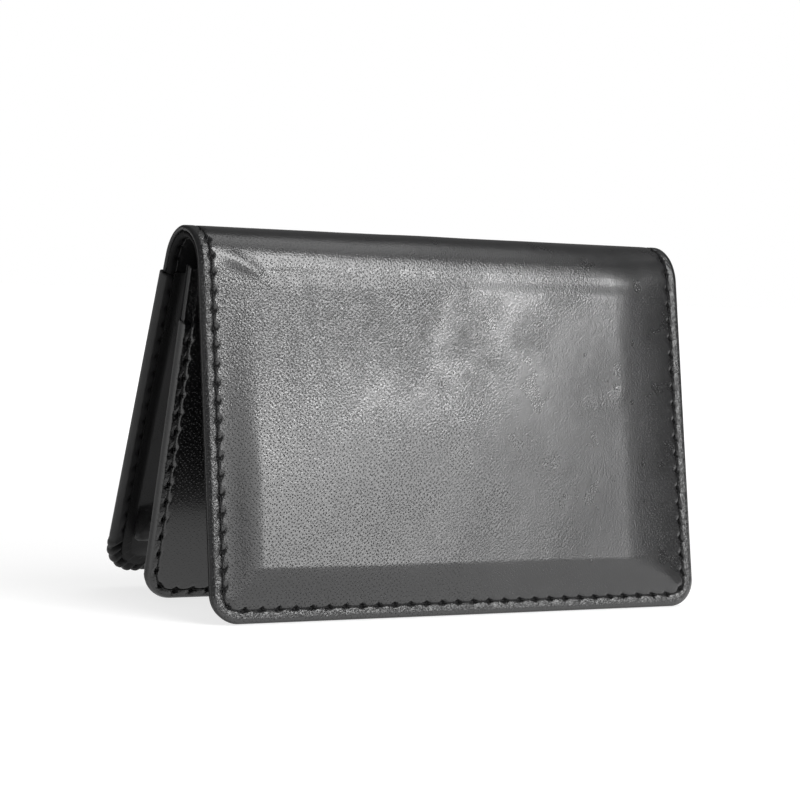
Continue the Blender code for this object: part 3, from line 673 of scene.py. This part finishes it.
def corner_pleats(leaf, stitch):
    """Pleats round the corners of a hem, from -0.9 on their crests to 1 in the creases between them."""
    pleats = np.zeros_like(stitch)
    for corner in (leaf.side_stitches, leaf.side_stitches + leaf.foot_stitches):
        from_corner = (stitch - corner) * STITCH_LENGTH
        near = 1.0 - ease((np.abs(from_corner) - PLEAT_REACH + MM) / MM)
        pleats = pleats + near * (1.0 - 1.9 * np.abs(np.sin(np.pi * from_corner / PLEAT_PITCH)))
    return pleats


def hem_relief(leaf):
    """A hem's face: the seam's inner side, and pleats round the corners."""
    def relief(x, along, inside, stitch):
        sewn = sewn_rim(leaf, inside, stitch) + rounded_mouth(leaf, along)
        return -sewn - PLEAT_DEPTH * corner_pleats(leaf, stitch)
    return relief


def hem_notch(leaf):
    """The pleats draw in the folded edge too."""
    return lambda stitch, share: PLEAT_NOTCH * (1.0 - share ** 2) * corner_pleats(leaf, stitch)


def pocket_relief(leaf):
    """A wrapped pocket's outer face, whose mouth has a rounded edge."""
    def relief(x, along, inside, stitch):
        return sewn_rim(leaf, inside, stitch) + rounded_mouth(leaf, along)
    return relief


back_pocket_rings = wrapped_rings(BACK_POCKET_FACE, -0.02 * MM, 0.5 * MM, 1.66 * MM, 2.2 * MM)
back_pocket = cut_hide("outer_slip_pocket", BACK_POCKET, back_pocket_rings, pocket_relief(BACK_POCKET),
                       hem_relief(BACK_POCKET), hem_notch(BACK_POCKET))
finish_piece(back_pocket, SMOOTH_CALF, "cover_hide", "back_slip_pocket")
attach(back_pocket, "back_leaf")

# The page. Two calf panels over a board hang in front of the back leaf. A slip pocket covers its
# front from 10 mm down, folded over its sides and foot like the pocket on the back leaf.
PAGE_TILT = math.radians(14.6)
PAGE_THICKNESS = 1.9 * MM
PAGE_AXIS_RISE = 6.0 * MM


def hang_page(x, along, depth):
    """Where the points of the page lie: down from its head, and backwards from its front panel."""
    axis = hinges["pocket_swell"]
    down = along + PAGE_AXIS_RISE
    back = depth - PAGE_THICKNESS / 2
    y = axis.y + down * math.sin(PAGE_TILT) + back * math.cos(PAGE_TILT)
    z = axis.z - down * math.cos(PAGE_TILT) + back * math.sin(PAGE_TILT)
    return np.stack(np.broadcast_arrays(x, y, z), axis=-1)


PAGE_LEAF = Leaf(53.7 * MM, 0.0, 66.95 * MM, 5.4 * MM, 1.75 * MM, 18, 29, hang_page)
PAGE_POCKET = pocket_on(PAGE_LEAF, 3, 0.25 * MM)
PAGE_HEM = 2.4 * MM
PAGE_DIP = 0.5 * MM
PAGE_POCKET_FACE = -0.78 * MM


def page_front_relief(x, along, inside, stitch):
    """The front panel's face, whose head is rounded."""
    return rounded_mouth(PAGE_LEAF, along)


def page_rear_relief(x, along, inside, stitch):
    """The rear panel's face, which dips under the hem of the page's pocket."""
    dip = hem_dip(PAGE_POCKET.head, along, inside)
    sewn = sewn_rim(PAGE_LEAF, inside, stitch) * (dip == 0.0)
    return -sewn - PAGE_DIP * dip - rounded_mouth(PAGE_LEAF, along)


page_front_rings = turned_rings(0.0, 0.92 * MM, 0.64 * MM, PAGE_HEM)
page_front = cut_hide("page_front", PAGE_LEAF, page_front_rings, page_front_relief)
finish_piece(page_front, SMOOTH_CALF, "cover_hide", "page_front_panel")
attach(page_front, "page")

page_rear_rings = turned_rings(PAGE_THICKNESS, 0.96 * MM, 1.25 * MM, PAGE_HEM)
page_rear = cut_hide("page_rear", PAGE_LEAF, page_rear_rings, page_rear_relief)
finish_piece(page_rear, LINING_CALF, "lining_hide", "page_rear_panel")
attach(page_rear, "page")

page_pocket_rings = wrapped_rings(PAGE_POCKET_FACE, -0.02 * MM, 0.2 * MM, 1.42 * MM, PAGE_THICKNESS)
page_pocket = cut_hide("page_slip", PAGE_POCKET, page_pocket_rings, pocket_relief(PAGE_POCKET),
                       hem_relief(PAGE_POCKET))
finish_piece(page_pocket, SMOOTH_CALF, "cover_hide", "page_slip_pocket")
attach(page_pocket, "page")

# The gusset. One strip of thin soft calf runs round the card pocket. Its long edges are sewn flat to
# the page's back and to the back leaf's inner face, and it is folded inwards along its middle, so
# that the pocket opens like a bellows. At the lower corners the fold bulges out into a nose.
GUSSET_THICKNESS = 0.45 * MM
GUSSET_HEAD = 3.0 * MM
GUSSET_PAGE_RISE = 7.0 * MM
FLANGE_EDGE = 1.0 * MM
FLANGE_END = 3.2 * MM
FOLD_ROUND = 0.8 * MM
NOSE_ROUND = 1.3 * MM
NOSE_OUT = 0.3 * MM
NOSE_LIFT = 0.6
NOSE_STITCHES = 1.6
NOSE_FLOOR = 2.0 * MM
GUSSET_LEG = 8.0 * MM
GUSSET_STEPS = 220
POCKET_MIDDLE = 30.0 * MM
MOUTH_DEPTH = 7.2 * MM
FOLD_ANGLES = np.radians(np.arange(-72.0, 73.0, 18.0))
# Split thin and drummed soft, with no polish, so that only its folds catch a little light.
GUSSET_CALF = finished_calf("soft_black_gusset_calf", dye="#101011", worn="#171718", roughness=0.55,
                            coat=0.05, shine=0.3, grain=0.8, pore_spacing=0.6, crease=0.1)
page_rim = PAGE_LEAF._replace(half=53.4 * MM, head=GUSSET_HEAD, foot=66.3 * MM - GUSSET_PAGE_RISE)
back_rim = BACK_LEAF._replace(half=53.4 * MM, head=GUSSET_HEAD)


def gusset_profile(span, nose):
    """Middle line of the strip, as insets and distances from the page, from flange to flange."""
    half_thick = GUSSET_THICKNESS / 2
    reach = FLANGE_END + math.sqrt(max(GUSSET_LEG ** 2 - (span / 2) ** 2, NOSE_FLOOR ** 2))
    bend = FOLD_ROUND + (NOSE_ROUND - FOLD_ROUND) * nose
    middle = (reach - bend) * (1.0 - nose) + (NOSE_OUT + bend) * nose
    line = [(FLANGE_EDGE, half_thick), (FLANGE_END - 1.2 * MM, half_thick),
            (FLANGE_END - 0.4 * MM, half_thick), (FLANGE_END, half_thick + 0.25 * MM)]
    ends = [(inset, span - away) for inset, away in line[::-1]]
    for angle in FOLD_ANGLES:
        inwards = (1.0 - 2.0 * nose) * bend * math.cos(angle)
        line.append((middle + inwards, span / 2 + bend * math.sin(angle)))
    return np.array(line + ends)


def tube_polygons(index):
    """Polygons of tubes with closed ends, whose points are numbered by tube, section and place."""
    wrapped = np.concatenate([index, index[..., :1]], axis=-1)
    return grid_quads(wrapped).tolist() + index[:, 0, ::-1].tolist() + index[:, -1].tolist()


def fold_gusset(steps):
    """The strip as a closed body, made of cross-sections round the pocket."""
    rings, cuts, insets = [], [], []
    for step in range(steps + 1):
        share = step / steps
        at_page = share * (2 * page_rim.side_stitches + page_rim.foot_stitches)
        at_back = share * (2 * back_rim.side_stitches + back_rim.foot_stitches)
        page_out, page_in = (hang_page(*edge_points(page_rim, inset, at_page), PAGE_THICKNESS)
                             for inset in (0.0, FLANGE_END))
        back_out, back_in = (back_rim.place(*edge_points(back_rim, inset, at_back), LINING_FACE)
                             for inset in (0.0, FLANGE_END))
        span = np.linalg.norm(back_out - page_out)
        corner = min(abs(at_page - page_rim.side_stitches + NOSE_LIFT),
                     abs(at_page - page_rim.side_stitches - page_rim.foot_stitches - NOSE_LIFT))
        line = gusset_profile(span, float(1.0 - ease(corner / NOSE_STITCHES)))
        forward = np.gradient(line, axis=0)
        forward /= np.linalg.norm(forward, axis=1, keepdims=True)
        normal = np.stack([-forward[:, 1], forward[:, 0]], axis=1) * GUSSET_THICKNESS / 2
        section = np.concatenate([line + normal, (line - normal)[::-1]])
        part = (section[:, 1] / span)[:, None]
        inset = (section[:, 0] / FLANGE_END)[:, None]
        near = page_out + (page_in - page_out) * inset
        far = back_out + (back_in - back_out) * inset
        rings.append(near + (far - near) * part)
        girth = np.concatenate([[0.0], np.cumsum(np.linalg.norm(np.diff(section, axis=0), axis=1))])
        run = np.full(len(section), at_page * STITCH_LENGTH)
        cuts.append(np.stack([girth, run, 0.0 * girth], axis=1))
        insets.append(np.full(len(section), RIM_ZONE))
    points = np.concatenate(rings)
    polygons = tube_polygons(np.arange(len(points)).reshape(1, steps + 1, -1))
    return close_mesh("bellows_gusset", points, polygons, np.concatenate(cuts), np.concatenate(insets))


gusset = fold_gusset(GUSSET_STEPS)
finish_piece(gusset, GUSSET_CALF, "gusset_hide", "gusset")
gusset_start = back_rim.place(0.0, POCKET_MIDDLE, LINING_FACE + MOUTH_DEPTH)
gusset_end = back_rim.place(0.0, POCKET_MIDDLE, LINING_FACE)
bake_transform(gusset)

# The boards. Grey bonded leather board stiffens each leaf between its hides, and a thinner strip
# keeps the spine round. None of it shows once the edges are turned.
SPINE_BOARD_HALF = 46.5 * MM
SPINE_BOARD = (1.0 * MM, 1.5 * MM)
SPINE_BOARD_GAP = 0.6 * MM
FIBRES_PER_METRE = 900.0


def bonded_board():
    """Board pressed from leather fibre: matt and faintly mottled, about once a millimetre."""
    material, tree = new_material("bonded_leather_board")
    place = add_node(tree, "TexCoord").outputs["Object"]
    fibre = add_node(tree, "TexNoise", {"Vector": place, "Scale": FIBRES_PER_METRE, "Detail": 6.0})
    colour = add_node(tree, "MixRGB", {"Fac": fibre, "Color1": shade("#6f6c68"),
                                       "Color2": shade("#96928c")})
    shader = add_node(tree, "BsdfPrincipled", {"Base Color": colour, "Roughness": 0.85})
    add_node(tree, "OutputMaterial", {"Surface": shader})
    return material


def bend_board(steps):
    """The spine's board: a strip bent round the arch between the two creases."""
    outer, inner = SPINE_BOARD
    first = -(math.pi - CREASE_ANGLE - FRONT_TILT) * ARCH_RADIUS + SPINE_BOARD_GAP
    last = -(CREASE_ANGLE - FRONT_TILT) * ARCH_RADIUS - SPINE_BOARD_GAP
    along = first + (last - first) * np.arange(steps + 1) / steps
    corners = ((-SPINE_BOARD_HALF, outer), (SPINE_BOARD_HALF, outer), (SPINE_BOARD_HALF, inner),
               (-SPINE_BOARD_HALF, inner))
    points = np.concatenate([FRONT_LEAF.place(x, along, depth) for x, depth in corners])
    polygons = tube_polygons(np.arange(len(points)).reshape(4, -1).T[None])
    return close_mesh("spine_board", points, polygons, points, np.full(len(points), RIM_ZONE))


BOARD = bonded_board()
spine_board = bend_board(24)
finish_piece(spine_board, BOARD, "board", "spine_backing")
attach(spine_board, "spine")
for board_name in ("front_board", "back_board", "page_board"):
    frame["nodes"][board_name].data.materials.clear()
    frame["nodes"][board_name].data.materials.append(BOARD)

# The seams. A waxed black thread sews each leaf close to its edge, 3.5 mm to the stitch. It lies in
# the groove that it has pulled into the leather and dives into each needle hole.
PLY_PITCH = 0.9 * MM
THREAD_RADIUS = 0.12 * MM
THREAD_SIDES = 8
THREAD_STOPS = np.array([0.02, 0.08, 0.16, 0.28, 0.42, 0.58, 0.72, 0.84, 0.92, 0.98])
THREAD_REST = 0.08 * MM
THREAD_DIVE = 0.50 * MM
HEM_PROUD = 0.18 * MM


def twisted_thread():
    """Polyester thread, three plies twisted and waxed: a faint sheen broken by the twist. The twist
    is drawn at its real pitch of 0.9 mm, which only a close view shows."""
    material, tree = new_material("waxed_polyester_thread")
    cut = add_node(tree, "Attribute", attribute_name="cut").outputs["Vector"]
    twist = add_node(tree, "TexWave", {"Vector": cut, "Scale": MM / PLY_PITCH, "Distortion": 0.4},
                     bands_direction="DIAGONAL").outputs["Fac"]
    colour = add_node(tree, "MixRGB", {"Fac": twist, "Color1": shade("#080809"),
                                       "Color2": shade("#151516")})
    bump = add_node(tree, "Bump", {"Height": twist, "Distance": 0.05 * MM, "Strength": 0.8})
    shader = add_node(tree, "BsdfPrincipled", {"Base Color": colour, "Roughness": 0.55, "Normal": bump})
    add_node(tree, "OutputMaterial", {"Surface": shader})
    return material


THREAD = twisted_thread()


def sew(name, leaf, side, level, *nodes):
    """Stitches of a seam, each a closed body. side is -1 on an outer face and 1 on an inner one, and
    level gives the depth of the leather that they lie on."""
    starts = np.arange(2 * leaf.side_stitches + leaf.foot_stitches)[:, None]
    stitch = starts + THREAD_STOPS[None, :]
    x, along = edge_points(leaf, leaf.seam, stitch)
    dive = THREAD_REST + THREAD_DIVE * np.abs(2 * THREAD_STOPS - 1.0) ** 5
    depth = level(along) - side * dive[None, :]
    middle = leaf.place(x, along, depth)
    outward = leaf.place(x, along, depth + side * MM) - middle
    outward /= np.linalg.norm(outward, axis=-1, keepdims=True)
    forward = np.gradient(middle, axis=1)
    forward /= np.linalg.norm(forward, axis=-1, keepdims=True)
    sideways = np.cross(forward, outward)
    angles = 2 * np.pi * np.arange(THREAD_SIDES) / THREAD_SIDES
    around = np.cos(angles)[:, None] * outward[:, :, None, :]
    around = around + np.sin(angles)[:, None] * sideways[:, :, None, :]
    points = middle[:, :, None, :] + THREAD_RADIUS * around
    index = np.arange(points.size // 3).reshape(len(starts), len(THREAD_STOPS), THREAD_SIDES)
    run = np.broadcast_to((stitch * STITCH_LENGTH)[:, :, None], index.shape).ravel()
    turn = np.broadcast_to(angles / (2 * np.pi) * PLY_PITCH, index.shape).ravel()
    cut = np.stack([run, turn, np.zeros_like(run)], axis=-1)
    seam = close_mesh(name, points.reshape(-1, 3), tube_polygons(index), cut, np.zeros(len(run)))
    return finish_piece(seam, THREAD, "thread", *nodes)


def level_of(pocket, on_pocket, above):
    """Depth of the leather under a seam that crosses the mouth of a pocket."""
    return lambda along: np.where(along > pocket.head, on_pocket, above)


seam = sew("front_seam", FRONT_LEAF, -1, lambda along: 0.0, "front_thread", "spine_thread_left",
           "spine_thread_right")
bend_at_crease(seam, FRONT_LEAF, FRONT_TILT)
seam = sew("front_seam_inside", FRONT_LINING, 1, level_of(FRONT_POCKET, POCKET_FACE, LINING_FACE))
bend_at_crease(seam, FRONT_LEAF, FRONT_TILT)
seam = sew("back_seam", BACK_LEAF, -1, level_of(BACK_POCKET, BACK_POCKET_FACE, 0.0), "back_thread")
bend_at_crease(seam, BACK_LEAF, BACK_TILT)
seam = sew("back_seam_inside", BACK_LINING, 1, lambda along: LINING_FACE + HEM_PROUD)
bend_at_crease(seam, BACK_LEAF, BACK_TILT)
seam = sew("page_seam", PAGE_POCKET, -1, lambda along: PAGE_POCKET_FACE, "page_thread")
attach(seam, "page")

# The camera stands where the photograph was taken, to the left of the wallet and a little above it.
CAMERA_PLACE = Vector((-0.2294, -0.41038, 0.0648))
CAMERA_YAW = math.radians(29.0)
CAMERA_DIP = math.radians(3.03)
CAMERA_ROLL = math.radians(2.23)
LENS_LENGTH = 104.5
SENSOR_WIDTH = 36.0
ahead = Vector((math.sin(CAMERA_YAW) * math.cos(CAMERA_DIP), math.cos(CAMERA_YAW) * math.cos(CAMERA_DIP),
                -math.sin(CAMERA_DIP)))
level_right = Vector((math.cos(CAMERA_YAW), -math.sin(CAMERA_YAW), 0.0))
level_up = level_right.cross(ahead)
right = level_right * math.cos(CAMERA_ROLL) + level_up * math.sin(CAMERA_ROLL)
up = level_up * math.cos(CAMERA_ROLL) - level_right * math.sin(CAMERA_ROLL)
camera_data = bpy.data.cameras.new("camera")
camera_data.lens = LENS_LENGTH
camera_data.sensor_width = SENSOR_WIDTH
camera_data.clip_start = 0.01
camera = bpy.data.objects.new("camera", camera_data)
camera_turn = Matrix((right, up, -ahead)).transposed().to_4x4()
camera.matrix_world = Matrix.Translation(CAMERA_PLACE) @ camera_turn
scene = bpy.context.scene
scene.collection.objects.link(camera)
scene.camera = camera
scene.view_settings.view_transform = "Standard"

# Soft studio light. A tall soft box stands to the right of the camera, brighter above and with a small
# bright heart, and a dimmer one beside it. Another hangs high on the right. The room is white to the
# eye and along its horizon; the rest of what the leather mirrors is dim, so that it shows its black.
HORIZON_DIM = math.sin(math.radians(3.0))
LIGHT_AIM = Vector((0.0, 0.0, 0.035))
STUDIO_LIGHT = 0.10
FILL_LIGHT = 0.35


def soft_box(name, azimuth, elevation, distance, width, height, radiance):
    """A soft box aimed at the wallet. Azimuth 0 is straight in front, positive to the right."""
    data = bpy.data.lights.new(name, "AREA")
    data.shape = "RECTANGLE"
    data.size = width
    data.size_y = height
    data.energy = 4.0 * radiance * width * height
    lamp = bpy.data.objects.new(name, data)
    turn, rise = math.radians(azimuth), math.radians(elevation)
    away = Vector((math.sin(turn) * math.cos(rise), -math.cos(turn) * math.cos(rise), math.sin(rise)))
    lamp.location = away * distance + LIGHT_AIM
    lamp.rotation_euler = away.to_track_quat("Z", "Y").to_euler()
    scene.collection.objects.link(lamp)


def eye_rays(tree):
    """Whether a ray comes straight to the eye, and whether it comes by way of a mirrored surface."""
    path = add_node(tree, "LightPath").outputs
    mirrored = add_node(tree, "Math", {0: path["Is Glossy Ray"], 1: path["Is Transmission Ray"]},
                        operation="MAXIMUM")
    return path["Is Camera Ray"], mirrored


soft_box("key", 27.5, 32.0, 1.2, 0.50, 1.26, 2.0)
soft_box("key_side", 5.0, 32.0, 1.21, 0.42, 1.26, 1.3)
soft_box("key_top", 23.0, 47.0, 1.19, 0.60, 0.54, 3.6)
soft_box("key_heart", 29.0, 22.8, 1.18, 0.25, 0.17, 14.0)
soft_box("key_foot", 23.0, 9.0, 1.18, 0.30, 0.14, 2.8)
soft_box("overhead", 95.0, 72.0, 1.4, 0.7, 0.7, 0.85)
world = bpy.data.worlds.new("studio")
scene.world = world
world.use_nodes = True
tree = world.node_tree
tree.nodes.clear()
to_eye, mirrored = eye_rays(tree)
direction = add_node(tree, "TexCoord").outputs["Generated"]
rise = add_node(tree, "SeparateXYZ", {"Vector": direction}).outputs["Z"]
walls = add_node(tree, "MapRange", {"Value": rise, "From Min": 0.0, "From Max": HORIZON_DIM,
                                    "To Min": 1.0, "To Max": STUDIO_LIGHT})
light = add_node(tree, "Mix", {"Factor": mirrored, "A": FILL_LIGHT, "B": walls}, data_type="FLOAT")
light = add_node(tree, "Mix", {"Factor": to_eye, "A": light, "B": 1.0}, data_type="FLOAT")
background = add_node(tree, "Background", {"Color": shade("#ffffff"), "Strength": light})
add_node(tree, "OutputWorld", {"Surface": background})

# The floor is white board, which keeps a pale shadow near the wallet and fades into the white room.
FLOOR_HALF = 6.0
FLOOR_GAP = 0.2 * MM
NEAR_GLOW = 0.75
GLOW_FADE = (0.1, 0.6)
floor_mesh = bpy.data.meshes.new("floor")
corners = [(FLOOR_HALF * a, FLOOR_HALF * b, 0.0) for a, b in ((-1, -1), (1, -1), (1, 1), (-1, 1))]
floor_mesh.from_pydata(corners, [], [(0, 1, 2, 3)])
floor = bpy.data.objects.new("floor", floor_mesh)
floor.location.z = -FLOOR_GAP
scene.collection.objects.link(floor)
floor_material, tree = new_material("white_studio_board")
to_eye, mirrored = eye_rays(tree)
seen = add_node(tree, "Math", {0: to_eye, 1: mirrored}, operation="MAXIMUM")
spot = add_node(tree, "TexCoord").outputs["Object"]
reach = add_node(tree, "VectorMath", {0: spot}, operation="LENGTH").outputs["Value"]
fade = add_node(tree, "MapRange", {"Value": reach, "From Min": GLOW_FADE[0], "From Max": GLOW_FADE[1],
                                   "To Min": NEAR_GLOW, "To Max": 1.0},
                interpolation_type="SMOOTHSTEP")
shine = add_node(tree, "Math", {0: seen, 1: fade}, operation="MULTIPLY")
matt = add_node(tree, "BsdfDiffuse", {"Color": shade("#9e9e9e")})
glow = add_node(tree, "Emission", {"Strength": shine})
both = add_node(tree, "AddShader", {0: matt, 1: glow})
add_node(tree, "OutputMaterial", {"Surface": both})
floor_mesh.materials.append(floor_material)
